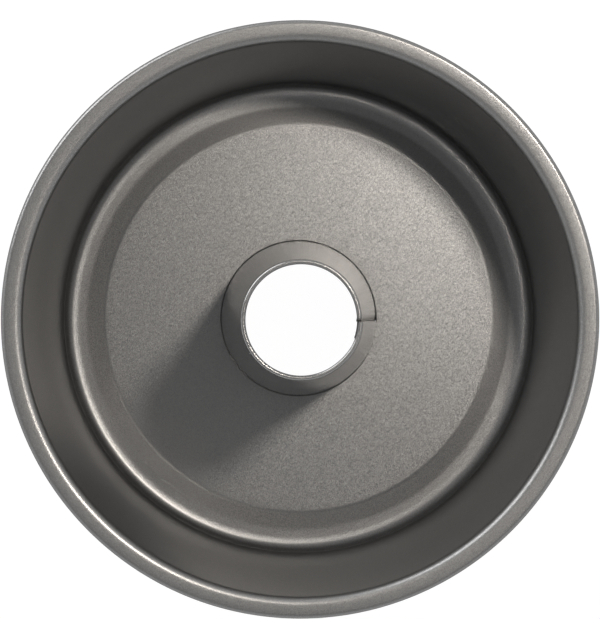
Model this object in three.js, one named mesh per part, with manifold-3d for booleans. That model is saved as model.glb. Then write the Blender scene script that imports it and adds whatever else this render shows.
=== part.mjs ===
// Plain tube cake pan: a drawn sheet-steel body with a rolled rim, and a centre tube rolled from sheet,
// lapped along one side, hemmed at the top and clinched through the floor at its foot.
// Millimetres, +Z up. The origin is the middle of the surface that the pan stands on.

import * as THREE from 'three';
import { mergeVertices } from 'three/addons/utils/BufferGeometryUtils.js';
import Module from 'manifold-3d';

// Sizes of the body
const RIM_DIAMETER = 254; // over the rolled rim
const PAN_HEIGHT = 99; // table to the top of the rim
const BODY_SHEET = 0.7; // sheet thickness
const WALL_DRAFT = 5.45; // lean of the wall in degrees
const CORNER_BEND = 6.5; // inside radius between the standing ring and the wall
const RING_WIDTH = 10.3; // foot of the slope to the wall line
const SLOPE_WIDTH = 7.6; // edge of the raised floor to the foot of its slope
const FLOOR_RISE = 1.75; // raised floor above the standing ring
const FLOOR_BEND = 10; // inside radius of the two bends of the slope
const LIP_BEND = 0.5; // inside radius where the centre hole's lip turns down

// Sizes of the rolled rim
const RIM_WIDTH = 8.3; // wall line to the outer edge
const RIM_DEPTH = 4.6; // top to the underside of the roll
const RIM_TILT = 8.5; // fall of the rim's inner half towards the wall in degrees
const CROWN_TILT = 2.5; // fall of the rim's outer half in degrees
const CROWN_BEND = 30; // inside radius between the two halves
const NECK_BEND = 3.2; // inside radius from the wall to the rim
const ROLL_BEND = 1.3; // inside radius of the outer roll
const CURL_GAP = 0.8; // end of the roll to the wall

// Sizes of the centre tube
const TUBE_RISE = 30; // top of the tube above the rim
const TUBE_SHEET = 0.6; // sheet thickness
const TUBE_FOOT_RADIUS = 36.3; // outside of the cone at the floor
const TUBE_TOP_RADIUS = 23.3; // outside of the cone at the top
const HEM_BEND = 0.45; // inside radius of the hem
const HEM_DROP = 1.1; // length of the hem's folded edge
const SEAM_ANGLE = -2; // outer edge of the lap, in degrees from +X
const LAP_ANGLE = 17; // width of the lap in degrees
const LAP_RUNOUT = 34; // degrees over which the outer layer settles to the inner one's radius
const LAP_START = 2.5; // height above the floor at which the lap stands fully proud
const WELD_PRESS = 0.1; // how far welding presses the two layers into each other
const HEM_SPLIT = 1.2; // gap between the two ends of the hem and foot, in degrees

// Sizes of the clinched foot
const FOOT_CLEARANCE = 0.3; // underside of the foot above the table
const FOOT_BEND = 0.3; // inside radius of the foot's hook
const HOOK_HEIGHT = 0.5; // how far the hook reaches up behind the lip
const FIT_GAP = 0.3; // play between the tube and the lip it clasps

// Fineness of the facets
const TURNS_AROUND = 60;
const ARC_STEP = 25; // degrees of bend for each facet

const { degToRad, euclideanModulo, smoothstep } = THREE.MathUtils;

// Levels and lines that both pieces share
const ringTop = BODY_SHEET;
const floorTop = BODY_SHEET + FLOOR_RISE;
const tubeTop = PAN_HEIGHT + TUBE_RISE;
const footTop = FOOT_CLEARANCE + TUBE_SHEET;
const lipEdge = footTop + FIT_GAP;
const coneSlope = (TUBE_TOP_RADIUS - TUBE_FOOT_RADIUS) / (tubeTop - floorTop);
const coneSecant = Math.hypot(1, coneSlope);
const coneRadius = (z) => TUBE_FOOT_RADIUS + coneSlope * (z - floorTop);

// Closed outline of a bent sheet, counter-clockwise in radius and height. Each corner of the sheet's first
// face is [radius, height, inside bend radius], or [radius, height] where the sheet ends or runs straight
// on. The second face lies to the left (1) or to the right (-1) of the first.
function sheetOutline(corners, sheet, side) {
  const points = corners.map(([radius, height]) => new THREE.Vector2(radius, height));
  const runs = points.slice(1).map((point, i) => point.clone().sub(points[i]));
  const headings = runs.map((run) => run.angle());
  const bends = corners.map(([, , inside], i) => {
    if (inside === undefined) return { turn: 0, radius: 0, reach: 0 };
    const turn = euclideanModulo(headings[i] - headings[i - 1] + Math.PI, 2 * Math.PI) - Math.PI;
    const radius = Math.sign(turn) === side ? inside + sheet : inside;
    return { turn, radius, reach: radius * Math.tan(Math.abs(turn) / 2) };
  });
  // A bend is limited by the runs that it joins
  const room = runs.map((run, i) => Math.min(1, run.length() / (bends[i].reach + bends[i + 1].reach)));

  const face = [];
  const back = [];
  const origin = new THREE.Vector2();
  bends.forEach(({ turn, radius, reach }, i) => {
    const limit = Math.min(room[i - 1] ?? 1, room[i] ?? 1);
    const heading = headings[Math.max(i - 1, 0)];
    const start = new THREE.Vector2(-reach * limit, 0);
    const center = new THREE.Vector2(start.x, Math.sign(turn) * radius * limit);
    const steps = Math.ceil(Math.abs(turn) / degToRad(ARC_STEP));
    for (let step = 0; step <= steps; step += 1) {
      const bent = turn * (step / Math.max(steps, 1));
      const point = start.clone().rotateAround(center, bent).rotateAround(origin, heading).add(points[i]);
      const through = new THREE.Vector2(0, side * sheet).rotateAround(origin, heading + bent);
      face.push(point);
      back.push(point.clone().add(through));
    }
  });
  const outline = [...face, ...back.reverse()];
  return side > 0 ? outline : outline.reverse();
}

// Sheet outline wound clockwise about Z from one angle to another, in degrees from the seam. The outline is
// moved outwards by lift(angle, height), and both ends are closed.
function windSheet(outline, from, to, lift) {
  const steps = Math.max(1, Math.round(((to - from) / 360) * TURNS_AROUND));
  const count = outline.length;
  const positions = [];
  const index = [];
  for (let i = 0; i <= steps; i += 1) {
    const angle = from + ((to - from) * i) / steps;
    const azimuth = degToRad(SEAM_ANGLE - angle);
    for (const { x, y } of outline) {
      const radius = x + lift(angle, y);
      positions.push(radius * Math.cos(azimuth), radius * Math.sin(azimuth), y);
    }
  }
  for (let i = 0; i < steps; i += 1) {
    for (let j = 0; j < count; j += 1) {
      const a = i * count + j;
      const b = i * count + ((j + 1) % count);
      index.push(a, b, a + count, b, b + count, a + count);
    }
  }
  for (const [a, b, c] of THREE.ShapeUtils.triangulateShape(outline, [])) {
    index.push(a, c, b);
    index.push(steps * count + a, steps * count + b, steps * count + c);
  }
  const geometry = new THREE.BufferGeometry();
  geometry.setAttribute('position', new THREE.Float32BufferAttribute(positions, 3));
  geometry.setIndex(index);
  return geometry;
}

// Union of two closed geometries
async function join(first, second) {
  const wasm = await Module();
  wasm.setup();
  const toSolid = (geometry) => {
    const merged = mergeVertices(geometry);
    return new wasm.Manifold(new wasm.Mesh({
      numProp: 3,
      vertProperties: merged.attributes.position.array,
      triVerts: Uint32Array.from(merged.index.array),
    }));
  };
  const { vertProperties, triVerts } = toSolid(first).add(toSolid(second)).getMesh();
  const geometry = new THREE.BufferGeometry();
  geometry.setAttribute('position', new THREE.BufferAttribute(vertProperties, 3));
  geometry.setIndex(new THREE.BufferAttribute(triVerts, 1));
  geometry.computeVertexNormals();
  return geometry;
}

// Body: one sheet followed from the lip of the centre hole over the floor, up the wall and round the rim
function panBody() {
  const innerFall = Math.tan(degToRad(RIM_TILT));
  const outerFall = Math.tan(degToRad(CROWN_TILT));
  const draft = Math.tan(degToRad(WALL_DRAFT));
  const rimRadius = RIM_DIAMETER / 2;
  const neckRadius = rimRadius - RIM_WIDTH;
  const crownRadius = rimRadius - RIM_WIDTH / 2;
  // The roll's arc touches the rim's outer edge and its top, and is tangent to the outer half
  const rollCorner = PAN_HEIGHT + (ROLL_BEND + BODY_SHEET) * (Math.hypot(1, outerFall) - 1 + outerFall);
  const crownCorner = rollCorner - (rimRadius - crownRadius) * outerFall;
  const neckCorner = crownCorner - (crownRadius - neckRadius) * innerFall;
  const rollUnderside = PAN_HEIGHT - RIM_DEPTH;
  const wallRadius = (z) => neckRadius - draft * (neckCorner - z);
  const wallOutside = wallRadius(rollUnderside) + BODY_SHEET * Math.hypot(1, draft);
  const slopeFoot = wallRadius(ringTop) - RING_WIDTH;
  const outline = sheetOutline([
    [coneRadius(lipEdge) + FIT_GAP * coneSecant, lipEdge],
    [coneRadius(floorTop) + FIT_GAP * coneSecant, floorTop, LIP_BEND],
    [slopeFoot - SLOPE_WIDTH, floorTop, FLOOR_BEND],
    [slopeFoot, ringTop, FLOOR_BEND],
    [wallRadius(ringTop), ringTop, CORNER_BEND],
    [neckRadius, neckCorner, NECK_BEND],
    [crownRadius, crownCorner, CROWN_BEND],
    [rimRadius, rollCorner, ROLL_BEND],
    [rimRadius, rollUnderside, ROLL_BEND],
    [wallOutside + CURL_GAP, rollUnderside],
  ], BODY_SHEET, -1);
  return new THREE.LatheGeometry([...outline, outline[0]], TURNS_AROUND).rotateX(Math.PI / 2);
}

// Tube: one sheet followed from the hook under the floor, up the cone and over the hem, then wound round
// until its outer edge lies on a tongue that carries the inner edge on under the lap
function centreTube() {
  const hookOffset = (FIT_GAP + BODY_SHEET + FIT_GAP) * coneSecant;
  const hookTop = footTop + HOOK_HEIGHT;
  const hemTop = tubeTop - TUBE_SHEET;
  const hemEnd = hemTop - HEM_DROP;
  const lapTop = floorTop + LAP_START;
  const outline = sheetOutline([
    [coneRadius(hookTop) + hookOffset, hookTop],
    [coneRadius(footTop) + hookOffset, footTop, FOOT_BEND],
    [coneRadius(footTop), footTop, FOOT_BEND],
    [coneRadius(floorTop), floorTop],
    [coneRadius(lapTop), lapTop],
    [coneRadius(hemTop), hemTop, HEM_BEND],
    [coneRadius(hemTop) + 2 * HEM_BEND, hemTop, HEM_BEND],
    [coneRadius(hemEnd) + 2 * HEM_BEND, hemEnd],
  ], TUBE_SHEET, 1);
  const step = TUBE_SHEET - WELD_PRESS;
  const settle = (angle) => 1 - smoothstep(angle, LAP_ANGLE, LAP_ANGLE + LAP_RUNOUT);
  const lift = (angle, z) => step * settle(angle) * smoothstep(z, floorTop, lapTop);
  const sheet = windSheet(outline, 0, 360 - HEM_SPLIT, lift);

  const inset = WELD_PRESS / 2;
  const tongueOutline = sheetOutline([
    [coneRadius(floorTop) - inset, floorTop],
    [coneRadius(hemEnd) - inset, hemEnd],
  ], TUBE_SHEET - WELD_PRESS, 1);
  const tongue = windSheet(tongueOutline, 360 - LAP_ANGLE / 2, 360 + LAP_ANGLE, () => 0);
  return join(sheet, tongue);
}

const coat = { color: 0x6e6b67, metalness: 0.9 };
const grainyCoat = new THREE.MeshStandardMaterial({ ...coat, roughness: 0.42 });
const smoothCoat = new THREE.MeshStandardMaterial({ ...coat, roughness: 0.3 });

const body = new THREE.Mesh(panBody(), grainyCoat);
body.name = 'pan_body';

const tube = new THREE.Mesh(await centreTube(), smoothCoat);
tube.name = 'centre_tube';

const pan = new THREE.Group();
pan.add(body, tube);

export default pan;
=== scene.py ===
"""Surfaces, finishes, stage and camera for a plain tube cake pan of coated sheet steel.

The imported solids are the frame. Two fine surfaces are laid over them, each a bent sheet followed along its
profile: the drawn body, carried once round the pan's axis, and the centre tube, wound round that axis until
its two edges lap. Lengths are in metres, +Z is up, and the origin is the middle of the standing surface.
"""

import math

import bpy
import numpy as np
from bpy.props import FloatProperty, FloatVectorProperty, PointerProperty
from bpy.types import NodeSocket, Operator, Panel, PropertyGroup
from mathutils import Matrix, Vector


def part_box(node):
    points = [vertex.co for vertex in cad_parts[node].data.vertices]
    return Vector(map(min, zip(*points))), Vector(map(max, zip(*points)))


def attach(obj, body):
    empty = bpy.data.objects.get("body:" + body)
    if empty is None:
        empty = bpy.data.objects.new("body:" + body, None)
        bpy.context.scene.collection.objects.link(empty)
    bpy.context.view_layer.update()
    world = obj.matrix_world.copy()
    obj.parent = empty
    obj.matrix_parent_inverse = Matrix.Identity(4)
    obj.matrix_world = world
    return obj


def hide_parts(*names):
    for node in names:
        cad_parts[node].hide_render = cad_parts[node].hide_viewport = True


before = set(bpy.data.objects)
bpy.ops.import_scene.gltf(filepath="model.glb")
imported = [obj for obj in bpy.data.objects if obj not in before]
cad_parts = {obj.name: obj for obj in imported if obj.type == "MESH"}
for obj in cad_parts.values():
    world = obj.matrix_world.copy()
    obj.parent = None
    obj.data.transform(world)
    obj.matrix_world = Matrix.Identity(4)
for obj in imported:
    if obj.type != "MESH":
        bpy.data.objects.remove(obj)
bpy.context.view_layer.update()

bl_info = {
    "name": "Tube Cake Pan",
    "version": (1, 0, 0),
    "blender": (4, 5, 0),
    "location": "3D View > Sidebar > Tube Pan",
    "description": "Lays coated-steel surfaces, a studio stage and a camera round a tube cake pan",
    "category": "Object",
}

MM = 0.001
FULL_TURN = 2 * math.pi
BODY_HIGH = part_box("pan_body")[1]
TUBE_LOW, TUBE_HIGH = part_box("centre_tube")

# Fineness of the surfaces
ARC_STEP = math.radians(5)
LONGEST_RUN = 4 * MM
SHORTEST_RUN = 0.001 * MM
BODY_TURNS = 300
TUBE_TURNS = 240
EDGE_STEPS = 6
TONGUE_STEPS = 16
SHARP_ANGLE = math.radians(38)

# The picture, and where the rim's circle lies in it, in pixels
PICTURE_WIDTH = 600
PICTURE_HEIGHT = 619
RIM_CENTRE_X = 300.5
RIM_CENTRE_Y = 319.5
RIM_RADIUS = 299.9


def length(name, millimetres, description):
    """A length property, its default given in millimetres."""
    return FloatProperty(name=name, description=description, default=millimetres * MM, unit="LENGTH",
                         subtype="DISTANCE", precision=5)


def angle(name, degrees, description):
    """An angle property, its default given in degrees."""
    return FloatProperty(name=name, description=description, default=math.radians(degrees),
                         unit="ROTATION", subtype="ANGLE")


def share(name, value, description):
    """A property between 0 and 1."""
    return FloatProperty(name=name, description=description, default=value, min=0, max=1, subtype="FACTOR")


def power(name, watts, description):
    """A lamp's power property in watts."""
    return FloatProperty(name=name, description=description, default=watts, min=0, unit="POWER")


def color(name, rgb, description):
    """A linear colour property."""
    return FloatVectorProperty(name=name, description=description, default=rgb, size=3, min=0, max=1,
                               subtype="COLOR")


class BodySizes(PropertyGroup):
    """Sizes of the drawn body and its rolled rim"""

    rim_radius: length("Rim radius", BODY_HIGH.x / MM, "Axis to the outer edge of the rolled rim")
    height: length("Height", BODY_HIGH.z / MM, "Standing surface to the top of the rim")
    sheet: length("Sheet", 0.7, "Sheet thickness")
    wall_draft: angle("Wall draft", 5.03, "Lean of the wall")
    corner_bend: length("Corner bend", 8.5, "Inside radius from the standing ring to the corner's middle")
    crease_bend: length("Crease bend", 2, "Inside radius from the corner's middle to the wall")
    corner_tilt: angle("Corner tilt", 45, "Tilt of the corner's middle")
    corner_width: length("Corner width", 3.2, "Start of the corner to the wall line")
    ring_width: length("Ring width", 10.3, "Foot of the floor's slope to the wall line")
    slope_width: length("Slope width", 8.1, "Edge of the raised floor to the foot of its slope")
    floor_rise: length("Floor rise", 2.2, "Raised floor above the standing ring")
    floor_bend: length("Floor bend", 8, "Inside radius of the slope's two bends")
    lip_bend: length("Lip bend", 0.05, "Inside radius where the centre hole's lip turns down")
    lip_press: length("Lip press", 0.3, "Depth by which the lip is pressed into the tube's wall")
    rim_width: length("Rim width", 9.0, "Wall line to the outer edge of the rim")
    rim_depth: length("Rim depth", 4.6, "Top of the rim to the underside of its roll")
    rim_tilt: angle("Rim tilt", 8.5, "Fall of the rim's inner half towards the wall")
    crown_tilt: angle("Crown tilt", 4, "Fall of the rim's outer half")
    crown_bend: length("Crown bend", 20, "Inside radius between the rim's two halves")
    neck_bend: length("Neck bend", 3.2, "Inside radius from the wall to the rim")
    roll_bend: length("Roll bend", 1.3, "Inside radius of the outer roll")
    curl_gap: length("Curl gap", 0.8, "End of the roll to the wall")


class TubeSizes(PropertyGroup):
    """Sizes of the rolled centre tube, its lap, its hem and its clinched foot"""

    top: length("Top", TUBE_HIGH.z / MM, "Standing surface to the top of the hem")
    sheet: length("Sheet", 0.6, "Sheet thickness")
    foot_radius: length("Foot radius", 36.3, "Outside of the cone at the floor")
    top_radius: length("Top radius", 23.3, "Outside of the cone at its top")
    hem_bend: length("Hem bend", 0.45, "Inside radius of the hem")
    hem_drop: length("Hem drop", 1.1, "Length of the hem's folded edge")
    seam_angle: angle("Seam angle", -2, "Outer edge of the lap, from +X")
    lap_angle: angle("Lap angle", 17, "Width of the lap")
    lap_runout: angle("Lap run-out", 34, "Angle in which the outer layer settles to the inner one's radius")
    lap_start: length("Lap start", 2.5, "Height above the floor at which the lap stands fully proud")
    lap_step: length("Lap step", 0.5, "How far the outer layer stands proud at the lap")
    tuck: length("Tuck", 0.3, "How far the inner layer is pressed in under the lap")
    tuck_angle: angle("Tuck angle", 5, "Angle in which the inner layer is pressed in")
    edge_round: length("Edge round", 0.55, "Rounding of the lap's outer edge")
    split: angle("Split", 0.5, "Gap between the two ends of the hem and of the foot")
    foot_clearance: length("Foot clearance", TUBE_LOW.z / MM, "Underside of the foot above the table")
    foot_bend: length("Foot bend", 0.3, "Inside radius of the foot's hook")
    hook_height: length("Hook height", 0.5, "How far the hook reaches up behind the lip")
    fit_gap: length("Fit gap", 0.05, "Play between the tube and the lip that it clasps")
    tongue_drop: length("Tongue drop", 5.5, "End of the hem down to the top of the tongue under the lap")


class CoatLooks(PropertyGroup):
    """Colour, gloss and grain of the baked non-stick coat"""

    tint: color("Tint", (0.357, 0.357, 0.357), "Colour of the coat")
    metallic: share("Metallic", 0.92, "How metallic the coat looks")
    flat_roughness: share("Flat roughness", 0.43, "Roughness on the faces that lie flat")
    wall_roughness: share("Wall roughness", 0.3, "Roughness where drawing has stretched the coat")
    smooth_from: share("Smooth from", 0.27, "Steepness at which the coat begins to be smoother")
    smooth_to: share("Smooth to", 0.43, "Steepness at which the coat is as smooth as on the wall")
    rim_stretch: share("Rim stretch", 0.56, "How far rolling has stretched the coat on the rim")
    edge_polish: share("Edge polish", 1.0, "How far wear has smoothed the edge of the raised floor")
    slope_grain: share("Slope grain", 0.77, "How far the coat is rougher on the slope, by the same measure")
    tube_roughness: share("Tube roughness", 0.12, "Roughness of the rolled tube")
    hem_roughness: share("Hem roughness", 0.35, "Roughness of the tube's hem")
    # Painted shade: where the shade attribute is full, the coat's colour and its brightness seen edge-on are
    # darkened by this share. On the tube it is a painted shadow that fades in over the angle below towards
    # the lap's edge.
    shade: share("Shade", 0.95, "How much darker the coat is in the corner of the lap")
    seam_shadow_width: angle("Seam width", 5, "Angle over which that shade fades")
    # Painted shade on the rim's outer face, for the dark line that its outer edge shows
    rim_painted_shade: share("Rim shade", 0.5, "Part of that shade on the rim's outer face")
    rim_painted_shade_width: length("Rim shade width", 1.2, "Width over which the rim takes its shade")
    # Painted shade in the corner where the wall rises from the floor, laid between the two headings below
    corner_painted_shade: share("Corner shade", 0.5, "Part of that shade where the wall rises from the floor")
    corner_from: angle("Corner from", 31, "Middle of the rise at which the corner takes its shade")
    corner_to: angle("Corner to", 62, "Middle of the rise at which the corner loses its shade")
    corner_fade: angle("Corner fade", 12, "Half of the angle over which it comes and goes")
    edge_tint: share("Edge tint", 0.62, "Brightness of the body's coat where it is seen edge-on")
    tube_edge_tint: share("Tube edge tint", 0.95, "Brightness of the tube's coat where it is seen edge-on")
    flake_size: length("Flake size", 0.22, "Spacing of the metallic flakes")
    flake_tilt: share("Flake tilt", 0.16, "How far the flakes lie out of the surface")
    flake_contrast: share("Flake contrast", 0.2, "How far the flakes differ in brightness")


class StageLooks(PropertyGroup):
    """Floor, lamps, surroundings and camera"""

    floor_tint: color("Floor tint", (0.9, 0.9, 0.9), "Colour of the floor")
    floor_reach: length("Floor reach", 4000, "Axis to each side of the floor")
    floor_drop: length("Floor drop", 0.05, "Floor below the standing surface")
    floor_white: share("Floor white", 0.93, "How far the floor is plain white where it is seen")
    floor_glow: FloatProperty(name="Floor glow", description="Strength of that white", default=1.06, min=0)
    key_power: power("Key power", 2.52, "Power of the key lamp")
    key_tint: color("Key tint", (1.0, 0.922, 0.835), "Colour of the key lamp")
    key_turn: angle("Key turn", 44.5, "Direction of the key lamp, from +X")
    key_rise: angle("Key rise", 65.6, "Height of the key lamp above the floor")
    key_distance: length("Key distance", 852, "Distance of the key lamp")
    key_size: length("Key size", 100, "Width and height of the key lamp")
    fill_power: power("Fill power", 10, "Power of the fill lamp")
    fill_tint: color("Fill tint", (1, 1, 1), "Colour of the fill lamp")
    fill_turn: angle("Fill turn", 134, "Direction of the fill lamp, from +X")
    fill_rise: angle("Fill rise", 28, "Height of the fill lamp above the floor")
    fill_distance: length("Fill distance", 1677, "Distance of the fill lamp")
    fill_width: length("Fill width", 1600, "Width of the fill lamp")
    fill_height: length("Fill height", 800, "Height of the fill lamp")
    low_sky: share("Low sky", 0.75, "Brightness of the surroundings at the horizon")
    high_sky: share("High sky", 0.2, "Brightness of the surroundings overhead")
    lens_height: length("Lens height", 900, "Camera above the top of the rim")
    lens_aside: length("Lens aside", -8.7, "Camera along X from the pan's axis")
    lens_beyond: length("Lens beyond", 6.0, "Camera along Y from the pan's axis")


def bent_sheet(corners, sheet, side):
    """Both faces of a bent sheet as radius and height, and the sheet's heading at each station.

    A row of corners is radius, height and inside bend radius along the first face. Each corner becomes an
    arc that is tangent to the runs beside it: at an angle t into the bend it has gone radius * sin(t) along
    the first run and radius * (1 - cos(t)) aside. Where the sheet turns towards its second face, the arc of
    the first face is wider by the thickness. The second face is the first one moved by the thickness along
    its normal, to the left (side 1) or to the right (side -1). Long straight runs get stations between.
    """
    corners = np.asarray(corners)
    points = corners[:, :2]
    runs = np.diff(points, axis=0)
    headings = np.unwrap(np.arctan2(runs[:, 1], runs[:, 0]))
    turns = np.concatenate([[0], np.diff(headings), [0]])
    way = np.sign(turns)
    radii = np.where(way == side, corners[:, 2] + sheet, corners[:, 2])
    reach = radii * np.tan(np.abs(turns) / 2)
    # A bend is limited by the runs that it joins
    room = np.minimum(1, np.hypot(*runs.T) / np.maximum(reach[:-1] + reach[1:], SHORTEST_RUN))
    limit = np.minimum(np.append(room, 1), np.insert(room, 0, 1))

    counts = np.ceil(np.abs(turns) / ARC_STEP).astype(int) + 1
    corner = np.repeat(np.arange(len(points)), counts)
    step = np.arange(len(corner)) - (np.cumsum(counts) - counts)[corner]
    bent = turns[corner] * step / np.maximum(counts[corner] - 1, 1)
    along = limit[corner] * (way[corner] * radii[corner] * np.sin(bent) - reach[corner])
    aside = limit[corner] * way[corner] * radii[corner] * (1 - np.cos(bent))
    start = np.insert(headings, 0, headings[0])[corner]
    face = points[corner] + turned(along, aside, start)
    heading = start + bent

    gaps = np.hypot(*np.diff(face, axis=0).T)
    kept = np.insert(gaps > SHORTEST_RUN, 0, True)
    face = face[kept]
    heading = heading[kept]
    travel = np.insert(np.cumsum(gaps[kept[1:]]), 0, 0)
    parts = np.ceil(np.diff(travel) / LONGEST_RUN).astype(int)
    run = np.repeat(np.arange(len(parts)), parts)
    part = np.arange(len(run)) - (np.cumsum(parts) - parts)[run]
    stations = np.append(travel[run] + np.diff(travel)[run] * part / parts[run], travel[-1])
    face = np.stack([np.interp(stations, travel, face[:, axis]) for axis in (0, 1)], axis=1)
    heading = np.interp(stations, travel, heading)
    back = face + turned(np.zeros_like(heading), side * sheet, heading)
    return face, back, heading


def turned(along, aside, heading):
    """Steps along and to the left of a heading, as radius and height."""
    return np.stack([along * np.cos(heading) - aside * np.sin(heading),
                     along * np.sin(heading) + aside * np.cos(heading)], axis=-1)


def round_axis(radius, height, azimuth):
    """Points (r cos a, r sin a, z) of a profile at each azimuth a, one row of points per azimuth."""
    around = azimuth[:, None]
    return np.stack(np.broadcast_arrays(radius * np.cos(around), radius * np.sin(around), height), axis=-1)


def ring_quads(rings):
    """Quads between successive rows of vertex numbers, each row a closed loop."""
    ahead = np.roll(rings, -1, axis=1)
    return np.stack([rings[:-1], rings[1:], ahead[1:], ahead[:-1]], axis=-1).reshape(-1, 4)


def ladder_quads(first, second):
    """Quads between two rows of vertex numbers that run side by side."""
    return np.stack([first[:-1], first[1:], second[1:], second[:-1]], axis=-1)


def smooth_step(value, low, high):
    """0 below low, 1 above high and 3 t^2 - 2 t^3 between."""
    t = np.clip((value - low) / (high - low), 0, 1)
    return t * t * (3 - 2 * t)


def there_and_back(values):
    """Values along one face of a sheet and back along the other."""
    return np.concatenate([values, values[::-1]])


def raised_floor():
    """Height of the raised floor's upper face."""
    body = bpy.context.scene.pan_body
    return body.sheet + body.floor_rise


def body_profile(sizes):
    """Faces and heading of the body's sheet, from the centre hole's lip to the end of the rim's roll.

    The lip follows the tube's cone, less the depth by which it is pressed in. The wall is a line that leans
    in from the rim's neck by its draft. The corner's middle rises at its own tilt from the standing ring
    until it meets that line.
    """
    tube = bpy.context.scene.pan_tube
    draft = math.tan(sizes.wall_draft)
    neck_radius = sizes.rim_radius - sizes.rim_width
    crown_radius = sizes.rim_radius - sizes.rim_width / 2
    inner_fall = math.tan(sizes.rim_tilt)
    outer_fall = math.tan(sizes.crown_tilt)
    # The roll's arc touches the rim's outer edge and its top, and is tangent to the outer half
    roll_arc = sizes.roll_bend + sizes.sheet
    roll_corner = sizes.height + roll_arc * (math.hypot(1, outer_fall) - 1 + outer_fall)
    crown_corner = roll_corner - (sizes.rim_radius - crown_radius) * outer_fall
    neck_corner = crown_corner - (crown_radius - neck_radius) * inner_fall
    roll_underside = sizes.height - sizes.rim_depth
    floor_top = raised_floor()
    lip_edge = tube.foot_clearance + tube.sheet + tube.fit_gap
    lip_offset = -sizes.lip_press * cone_secant()

    def wall_radius(height):
        """Inside radius of the wall line at a height."""
        return neck_radius - draft * (neck_corner - height)

    slope_foot = wall_radius(sizes.sheet) - sizes.ring_width
    corner_start = wall_radius(sizes.sheet) - sizes.corner_width
    crease = sizes.sheet + sizes.corner_width / (1 / math.tan(sizes.corner_tilt) - draft)
    roll_end = wall_radius(roll_underside) + sizes.sheet / math.cos(sizes.wall_draft) + sizes.curl_gap
    return bent_sheet([
        (cone_radius(lip_edge) + lip_offset, lip_edge, 0),
        (cone_radius(floor_top) + lip_offset, floor_top, sizes.lip_bend),
        (slope_foot - sizes.slope_width, floor_top, sizes.floor_bend),
        (slope_foot, sizes.sheet, sizes.floor_bend),
        (corner_start, sizes.sheet, sizes.corner_bend),
        (wall_radius(crease), crease, sizes.crease_bend),
        (neck_radius, neck_corner, sizes.neck_bend),
        (crown_radius, crown_corner, sizes.crown_bend),
        (sizes.rim_radius, roll_corner, sizes.roll_bend),
        (sizes.rim_radius, roll_underside, sizes.roll_bend),
        (roll_end, roll_underside, 0),
    ], sizes.sheet, -1)


def cone_slope():
    """Radius that the tube gains with each unit of height, below zero because it narrows upwards."""
    tube = bpy.context.scene.pan_tube
    return (tube.top_radius - tube.foot_radius) / (tube.top - raised_floor())


def cone_secant():
    """Length along a radius that is one unit thick square to the cone's wall."""
    return math.hypot(1, cone_slope())


def cone_radius(height):
    """Outside radius of the tube's cone at a height."""
    return bpy.context.scene.pan_tube.foot_radius + cone_slope() * (height - raised_floor())


def lap_heights(sizes):
    """Heights at which the lap stands fully proud, its tongue ends and the hem's folded edge ends."""
    hem_end = sizes.top - sizes.sheet - sizes.hem_drop
    return raised_floor() + sizes.lap_start, hem_end - sizes.tongue_drop, hem_end


def tube_profile(sizes):
    """Faces and heading of the tube's sheet, from the hook under the floor up the cone and over the hem.

    The hook stands off from the cone by the lip's thickness and the play on both sides of it, and the hem's
    folded edge by twice the hem's inside radius.
    """
    body = bpy.context.scene.pan_body
    foot_top = sizes.foot_clearance + sizes.sheet
    hook_top = foot_top + sizes.hook_height
    hook_offset = (2 * sizes.fit_gap + body.sheet) * cone_secant()
    floor_top = raised_floor()
    lap_top, tongue_top, hem_end = lap_heights(sizes)
    hem_top = sizes.top - sizes.sheet
    return bent_sheet([
        (cone_radius(hook_top) + hook_offset, hook_top, 0),
        (cone_radius(foot_top) + hook_offset, foot_top, sizes.foot_bend),
        (cone_radius(foot_top), foot_top, sizes.foot_bend),
        (cone_radius(floor_top), floor_top, 0),
        (cone_radius(lap_top), lap_top, 0),
        (cone_radius(tongue_top), tongue_top, 0),
        (cone_radius(hem_end), hem_end, 0),
        (cone_radius(hem_top), hem_top, sizes.hem_bend),
        (cone_radius(hem_top) + 2 * sizes.hem_bend, hem_top, sizes.hem_bend),
        (cone_radius(hem_end) + 2 * sizes.hem_bend, hem_end, 0),
    ], sizes.sheet, 1)


def nearest(line, radius, height):
    """Number of the station of a line that lies nearest to a radius and height."""
    return int(np.argmin(np.hypot(line[:, 0] - radius, line[:, 1] - height)))


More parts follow.
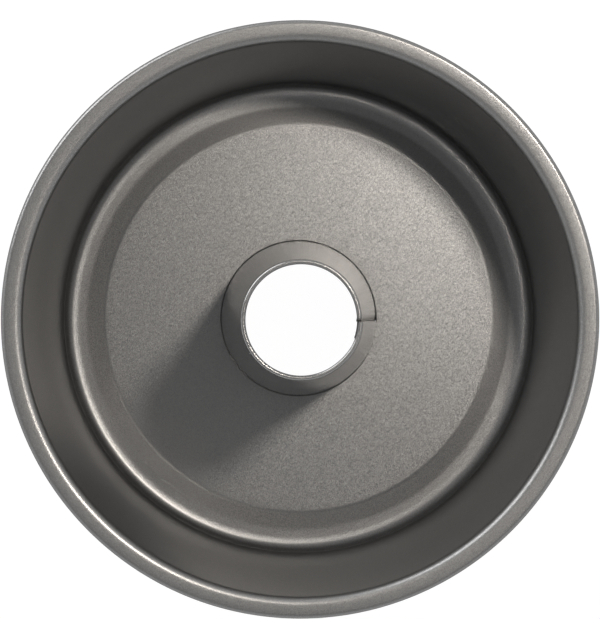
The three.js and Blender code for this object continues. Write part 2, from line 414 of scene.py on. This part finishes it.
def wound_tube(sizes, looks):
    """Vertices, quads and finish of the tube's sheet, wound clockwise from the outer edge of its lap.

    The whole sheet, hook to hem, goes once round. Its cone alone then runs on as a tongue under the lap.
    A point at an angle w from the edge lies at the profile's radius plus a shift: the lap's step, which
    fades out after the lap, less the tuck, which presses the last stretch in under it. The shift grows from
    nothing at the floor to its full size at the lap's start, and the outer edge is rounded off. The finish
    also carries painted shade, darkest at the lap's edge and on the tongue under the lap.
    """
    face, back, heading = tube_profile(sizes)
    lap_top, tongue_top, hem_end = lap_heights(sizes)
    low = nearest(face, cone_radius(lap_top), lap_top)
    high = nearest(face, cone_radius(tongue_top), tongue_top)
    hem = nearest(face, cone_radius(hem_end), hem_end)
    cone = slice(low, high + 1)

    end = FULL_TURN - sizes.split
    edge_angle = sizes.edge_round / sizes.top_radius
    edge = edge_angle * (1 - np.cos(np.linspace(0, np.pi / 2, EDGE_STEPS)))
    once = np.concatenate([edge, np.linspace(2 * edge_angle, end, TUBE_TURNS)])
    under = np.linspace(end, FULL_TURN + sizes.lap_angle, TONGUE_STEPS)[1:]

    def sides(wound, stations):
        """Points of the inner side and, back to front, the outer side at each angle wound."""
        settled = smooth_step(wound, sizes.lap_angle, sizes.lap_angle + sizes.lap_runout)
        pressed = smooth_step(wound, FULL_TURN - sizes.tuck_angle, end)
        proud = sizes.lap_step * (1 - settled) - sizes.tuck * pressed
        shift = proud[:, None] * smooth_step(face[stations, 1], raised_floor(), lap_top)
        inset = np.clip(1 - wound / edge_angle, 0, 1)
        rounding = sizes.edge_round * (1 - np.sqrt(1 - inset ** 2))
        on_cone = (np.arange(len(face)) >= low) & (np.arange(len(face)) <= hem)
        outer = face[stations, 0] + shift - rounding[:, None] * on_cone[stations]
        inner = back[stations, 0] + shift
        radius = np.concatenate([inner, outer[:, ::-1]], axis=1)
        height = np.concatenate([back[stations, 1], face[stations, 1][::-1]])
        return round_axis(radius, height, sizes.seam_angle - wound)

    sheet = sides(once, slice(None))
    tongue = sides(under, cone)
    count = len(face)
    rings = np.arange(sheet.shape[0] * sheet.shape[1]).reshape(sheet.shape[:2])
    inner = rings[:, :count]
    outer = rings[:, count:][:, ::-1]
    more = np.arange(tongue.shape[0] * tongue.shape[1]).reshape(tongue.shape[:2]) + rings.size
    tongue_rings = np.vstack([np.concatenate([inner[-1, cone], outer[-1, cone][::-1]]), more])
    width = more.shape[1] // 2
    quads = np.concatenate([
        ring_quads(rings),
        ring_quads(tongue_rings),
        ladder_quads(inner[0], outer[0]),
        ladder_quads(outer[-1, :low + 1], inner[-1, :low + 1]),
        ladder_quads(outer[-1, high:], inner[-1, high:]),
        ladder_quads(more[-1, width:][::-1], more[-1, :width]),
    ])
    along = stretched(heading, looks)
    stretch = np.concatenate([np.tile(there_and_back(along), len(once)),
                              np.tile(there_and_back(along[cone]), len(under))])
    # Painted shadow: the coat darkens towards the lap's edge, where the outer layer shadows the inner one,
    # and all of the tongue under the lap is painted dark
    painted_seam_shadow = smooth_step(once, end - looks.seam_shadow_width, end)
    shade = np.concatenate([np.repeat(painted_seam_shadow, 2 * count), np.ones(more.size)])
    finish = {"stretch": stretch, "shade": shade}
    return np.concatenate([sheet.reshape(-1, 3), tongue.reshape(-1, 3)]), quads, finish


def stretched(heading, looks):
    """How far drawing has stretched the coat: 0 where the sheet lies flat, 1 where it is steep."""
    return smooth_step(np.abs(np.sin(heading)), looks.smooth_from, looks.smooth_to)


def body_stretch(face, heading, sizes, looks):
    """Stretch of the body's coat: one value on the rolled rim, and by the steepness elsewhere.

    The floor's slope has its own finish. With s the part of the slope's full tilt that the sheet has
    reached, the grain times s is taken away, and on the upper bend the polish times sin(pi s) is added.
    """
    on_rim = face[:, 0] > sizes.rim_radius - sizes.rim_width
    on_floor = face[:, 1] < sizes.height / 2
    on_edge = face[:, 1] > sizes.sheet + sizes.floor_rise / 2
    slope = math.atan2(sizes.floor_rise, sizes.slope_width)
    sloped = np.clip(-heading / slope, 0, 1) * on_floor
    polish = looks.edge_polish * np.sin(np.pi * sloped) * on_edge
    drawn = stretched(heading, looks) * (sloped == 0)
    return np.where(on_rim, looks.rim_stretch, drawn + polish - looks.slope_grain * sloped)


def body_painted_shade(face, heading, sizes, looks):
    """Painted shade on the body's coat, in the round corner between floor and wall and on the rim's outer
    face.

    In the corner it comes and goes by smooth steps as the sheet's heading turns from flat to upright. On
    the rim it grows by one smooth step towards the outer edge.
    """
    in_corner = (face[:, 0] > sizes.rim_radius / 2) & (face[:, 1] < sizes.height / 2)
    fade = looks.corner_fade
    taken = smooth_step(heading, looks.corner_from - fade, looks.corner_from + fade)
    lost = smooth_step(heading, looks.corner_to - fade, looks.corner_to + fade)
    # Painted shade that grows towards the rim's outer edge
    outer = smooth_step(face[:, 0], sizes.rim_radius - looks.rim_painted_shade_width, sizes.rim_radius)
    return looks.corner_painted_shade * in_corner * (taken - lost) + looks.rim_painted_shade * outer


def add_piece(name, vertices, quads, material, finish):
    """A mesh object at the origin, smooth between its sharp edges, that carries its coat's finish."""
    mesh = bpy.data.meshes.new(name)
    mesh.from_pydata(vertices, [], quads)
    mesh.shade_smooth()
    mesh.set_sharp_from_angle(angle=SHARP_ANGLE)
    # The finish holds the coat's stretch and its painted shade, one value for each point
    for key, values in finish.items():
        held = mesh.attributes.new(key, "FLOAT", "POINT")
        held.data.foreach_set("value", values.astype(np.float32))
    mesh.materials.append(material)
    piece = bpy.data.objects.new(name, mesh)
    bpy.context.scene.collection.objects.link(piece)
    return piece


def add_node(tree, kind, inputs, **settings):
    """A node with its settings and its inputs, each a value or the socket that feeds it."""
    node = tree.nodes.new(kind)
    for key, value in settings.items():
        setattr(node, key, value)
    for key, value in inputs.items():
        if isinstance(value, NodeSocket):
            tree.links.new(value, node.inputs[key])
        else:
            node.inputs[key].default_value = value
    return node


def coat_material(name, looks, flat_roughness, steep_roughness, edge_tint):
    """Baked metallic coat: flakes that lie at random tilts, and a finish that is smoother on steep faces.

    Each flake is a cell of a Voronoi pattern. Its random colour, less one half, is added to the surface's
    normal, and it makes the flake a little lighter or darker. Flakes lie flatter on steep faces. The shade
    attribute is painted shade: it darkens the coat and its sheen alike where shade falls, at the lap's edge,
    in the round corner and on the rim's outer face.
    """
    material = bpy.data.materials.new(name)
    material.use_nodes = True
    tree = material.node_tree
    shader = tree.nodes["Principled BSDF"]
    place = add_node(tree, "ShaderNodeTexCoord", {}).outputs["Object"]
    stretch = add_node(tree, "ShaderNodeAttribute", {}, attribute_name="stretch").outputs["Fac"]
    cells = add_node(tree, "ShaderNodeTexVoronoi", {"Vector": place, "Scale": 1 / looks.flake_size})
    flake = cells.outputs["Color"]

    centred = add_node(tree, "ShaderNodeVectorMath", {0: flake, 1: (0.5, 0.5, 0.5)}, operation="SUBTRACT")
    tilt = add_node(tree, "ShaderNodeMapRange", {"Value": stretch, "To Min": looks.flake_tilt, "To Max": 0})
    lean = add_node(tree, "ShaderNodeVectorMath", {"Vector": centred.outputs["Vector"],
                                                   "Scale": tilt.outputs["Result"]}, operation="SCALE")
    normal = add_node(tree, "ShaderNodeNewGeometry", {}).outputs["Normal"]
    leaning = add_node(tree, "ShaderNodeVectorMath", {0: normal, 1: lean.outputs["Vector"]},
                       operation="ADD")
    facing = add_node(tree, "ShaderNodeVectorMath", {0: leaning.outputs["Vector"]}, operation="NORMALIZE")
    tree.links.new(facing.outputs["Vector"], shader.inputs["Normal"])

    lightness = add_node(tree, "ShaderNodeSeparateColor", {"Color": flake}).outputs["Green"]
    tint = np.array(looks.tint)
    dark = tuple(tint * (1 - looks.flake_contrast))
    light = tuple(tint * (1 + looks.flake_contrast))
    mixed = add_node(tree, "ShaderNodeMix", {"Factor": lightness, "A": (*dark, 1), "B": (*light, 1)},
                     data_type="RGBA")
    # Painted shade: the shade attribute mixes the coat's colour towards a dark tint
    shade = add_node(tree, "ShaderNodeAttribute", {}, attribute_name="shade").outputs["Fac"]
    shaded = add_node(tree, "ShaderNodeMix", {"Factor": shade, "A": mixed.outputs["Result"],
                                              "B": (*(tint * (1 - looks.shade)), 1)}, data_type="RGBA")
    tree.links.new(shaded.outputs["Result"], shader.inputs["Base Color"])

    roughness = add_node(tree, "ShaderNodeMapRange", {"Value": stretch, "To Min": flat_roughness,
                                                      "To Max": steep_roughness}, clamp=False)
    tree.links.new(roughness.outputs["Result"], shader.inputs["Roughness"])
    shader.inputs["Metallic"].default_value = looks.metallic
    # Painted shade also dims the coat's brightness seen edge-on
    sheen = add_node(tree, "ShaderNodeMapRange", {"Value": shade, "To Min": edge_tint,
                                                  "To Max": edge_tint * (1 - looks.shade)})
    tree.links.new(sheen.outputs["Result"], shader.inputs["Specular Tint"])
    return material


def floor_material(looks):
    """Pale floor that looks near white itself and in reflections, and still takes a faint shadow."""
    material = bpy.data.materials.new("pale_floor")
    material.use_nodes = True
    tree = material.node_tree
    tree.nodes.remove(tree.nodes["Principled BSDF"])
    rays = add_node(tree, "ShaderNodeLightPath", {}).outputs
    shown = add_node(tree, "ShaderNodeMath", {0: rays["Is Camera Ray"], 1: rays["Is Glossy Ray"]},
                     operation="MAXIMUM")
    seen = add_node(tree, "ShaderNodeMath", {0: shown.outputs["Value"], 1: rays["Is Transmission Ray"]},
                    operation="MAXIMUM")
    part = add_node(tree, "ShaderNodeMath", {0: seen.outputs["Value"], 1: looks.floor_white},
                    operation="MULTIPLY")
    matt = add_node(tree, "ShaderNodeBsdfDiffuse", {"Color": (*looks.floor_tint, 1)})
    white = add_node(tree, "ShaderNodeEmission", {"Color": (1, 1, 1, 1), "Strength": looks.floor_glow})
    mixed = add_node(tree, "ShaderNodeMixShader", {"Fac": part.outputs["Value"], 1: matt.outputs["BSDF"],
                                                   2: white.outputs["Emission"]})
    tree.links.new(mixed.outputs["Shader"], tree.nodes["Material Output"].inputs["Surface"])
    return material


def add_floor(looks):
    """A wide square floor just under the standing surface."""
    side = looks.floor_reach
    level = -looks.floor_drop
    corners = [(-side, -side, level), (side, -side, level), (side, side, level), (-side, side, level)]
    mesh = bpy.data.meshes.new("floor")
    mesh.from_pydata(corners, [], [(0, 1, 2, 3)])
    mesh.materials.append(floor_material(looks))
    floor = bpy.data.objects.new("floor", mesh)
    bpy.context.scene.collection.objects.link(floor)


def add_lamp(name, watts, tint, turn, rise, distance, width, height):
    """A soft lamp that faces the middle of the pan's foot, at a turn from +X and a rise above the floor."""
    lamp = bpy.data.lights.new(name, "AREA")
    lamp.shape = "ELLIPSE"
    lamp.size = width
    lamp.size_y = height
    lamp.energy = watts
    lamp.color = tint
    holder = bpy.data.objects.new(name, lamp)
    flat = distance * math.cos(rise)
    place = Vector((flat * math.cos(turn), flat * math.sin(turn), distance * math.sin(rise)))
    holder.location = place
    holder.rotation_euler = (-place).to_track_quat("-Z", "Y").to_euler()
    bpy.context.scene.collection.objects.link(holder)


def add_surroundings(looks):
    """Grey studio whose brightness changes evenly with a direction's height, from horizon to zenith."""
    world = bpy.data.worlds.new("studio")
    world.use_nodes = True
    tree = world.node_tree
    direction = add_node(tree, "ShaderNodeTexCoord", {}).outputs["Generated"]
    rise = add_node(tree, "ShaderNodeSeparateXYZ", {"Vector": direction}).outputs["Z"]
    sky = add_node(tree, "ShaderNodeMapRange", {"Value": rise, "To Min": looks.low_sky,
                                                "To Max": looks.high_sky})
    tree.links.new(sky.outputs["Result"], tree.nodes["Background"].inputs["Color"])
    bpy.context.scene.world = world


def add_camera(looks, body):
    """A camera over the pan, aimed so that the rim's circle falls on its place in the picture.

    The focal length in pixels is the camera's height above the rim over the width of one pixel there.
    """
    camera = bpy.data.cameras.new("camera")
    camera.sensor_fit = "VERTICAL"
    scale = body.rim_radius / RIM_RADIUS
    focal_pixels = looks.lens_height / scale
    camera.lens = camera.sensor_height * focal_pixels / PICTURE_HEIGHT
    place = Vector((looks.lens_aside, looks.lens_beyond, body.height + looks.lens_height))
    aim = Vector((scale * (PICTURE_WIDTH / 2 - RIM_CENTRE_X), scale * (RIM_CENTRE_Y - PICTURE_HEIGHT / 2),
                  body.height))
    away = (place - aim).normalized()
    right = Vector((0, 1, 0)).cross(away).normalized()
    up = away.cross(right)
    holder = bpy.data.objects.new("camera", camera)
    holder.location = place
    holder.rotation_euler = Matrix((right, up, away)).transposed().to_euler()
    bpy.context.scene.collection.objects.link(holder)
    bpy.context.scene.camera = holder


class PAN_OT_body(Operator):
    """Lay the coated surface of the drawn body over its solid"""

    bl_idname = "tube_pan.body"
    bl_label = "Drawn Body"

    def execute(self, context):
        looks = context.scene.pan_coat
        sizes = context.scene.pan_body
        face, back, heading = body_profile(sizes)
        outline = np.concatenate([back, face[::-1]])
        azimuth = np.linspace(0, FULL_TURN, BODY_TURNS, endpoint=False)
        vertices = round_axis(*outline.T, azimuth).reshape(-1, 3)
        numbers = np.arange(len(vertices)).reshape(BODY_TURNS, -1)
        quads = ring_quads(np.concatenate([numbers, numbers[:1]]))
        stretch = there_and_back(body_stretch(face, heading, sizes, looks))
        # Painted shade in the round corner and on the rim's outer face
        shade = there_and_back(body_painted_shade(face, heading, sizes, looks))
        finish = {"stretch": np.tile(stretch, BODY_TURNS), "shade": np.tile(shade, BODY_TURNS)}
        coat = coat_material("body_coat", looks, looks.flat_roughness, looks.wall_roughness,
                             looks.edge_tint)
        piece = add_piece("coated_body", vertices, quads, coat, finish)
        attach(piece, "root")
        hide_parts("pan_body")
        return {"FINISHED"}


class PAN_OT_tube(Operator):
    """Lay the coated surface of the rolled centre tube over its solid"""

    bl_idname = "tube_pan.tube"
    bl_label = "Centre Tube"

    def execute(self, context):
        looks = context.scene.pan_coat
        vertices, quads, finish = wound_tube(context.scene.pan_tube, looks)
        coat = coat_material("tube_coat", looks, looks.hem_roughness, looks.tube_roughness,
                             looks.tube_edge_tint)
        piece = add_piece("coated_tube", vertices, quads, coat, finish)
        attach(piece, "root")
        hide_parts("centre_tube")
        return {"FINISHED"}


class PAN_OT_stage(Operator):
    """Set up the floor, the lamps, the surroundings and the camera"""

    bl_idname = "tube_pan.stage"
    bl_label = "Stage"

    def execute(self, context):
        looks = context.scene.pan_stage
        add_floor(looks)
        add_lamp("key", looks.key_power, looks.key_tint, looks.key_turn, looks.key_rise, looks.key_distance,
                 looks.key_size, looks.key_size)
        add_lamp("fill", looks.fill_power, looks.fill_tint, looks.fill_turn, looks.fill_rise,
                 looks.fill_distance, looks.fill_width, looks.fill_height)
        add_surroundings(looks)
        add_camera(looks, context.scene.pan_body)
        context.scene.view_settings.view_transform = "Standard"
        return {"FINISHED"}


class PAN_PT_sidebar(Panel):
    """Steps and sizes of the tube cake pan"""

    bl_idname = "PAN_PT_sidebar"
    bl_label = "Tube Cake Pan"
    bl_space_type = "VIEW_3D"
    bl_region_type = "UI"
    bl_category = "Tube Pan"

    def draw(self, context):
        for operator, groups in STEPS:
            self.layout.operator(operator.bl_idname)
            for group in groups:
                column = self.layout.column()
                settings = getattr(context.scene, SETTINGS[group])
                for name in group.__annotations__:
                    column.prop(settings, name)


SETTINGS = {BodySizes: "pan_body", TubeSizes: "pan_tube", CoatLooks: "pan_coat", StageLooks: "pan_stage"}
STEPS = ((PAN_OT_body, (BodySizes, CoatLooks)), (PAN_OT_tube, (TubeSizes,)), (PAN_OT_stage, (StageLooks,)))
CLASSES = (*SETTINGS, PAN_OT_body, PAN_OT_tube, PAN_OT_stage, PAN_PT_sidebar)


def register():
    """Register the classes and hang the settings on the scene."""
    for item in CLASSES:
        bpy.utils.register_class(item)
    for group, name in SETTINGS.items():
        setattr(bpy.types.Scene, name, PointerProperty(type=group))


def unregister():
    """Take the settings off the scene and unregister the classes."""
    for name in SETTINGS.values():
        delattr(bpy.types.Scene, name)
    for item in reversed(CLASSES):
        bpy.utils.unregister_class(item)


def main():
    """Register, then build the pan and its stage in order."""
    register()
    bpy.ops.tube_pan.body()
    bpy.ops.tube_pan.tube()
    bpy.ops.tube_pan.stage()


if __name__ == "__main__":
    main()
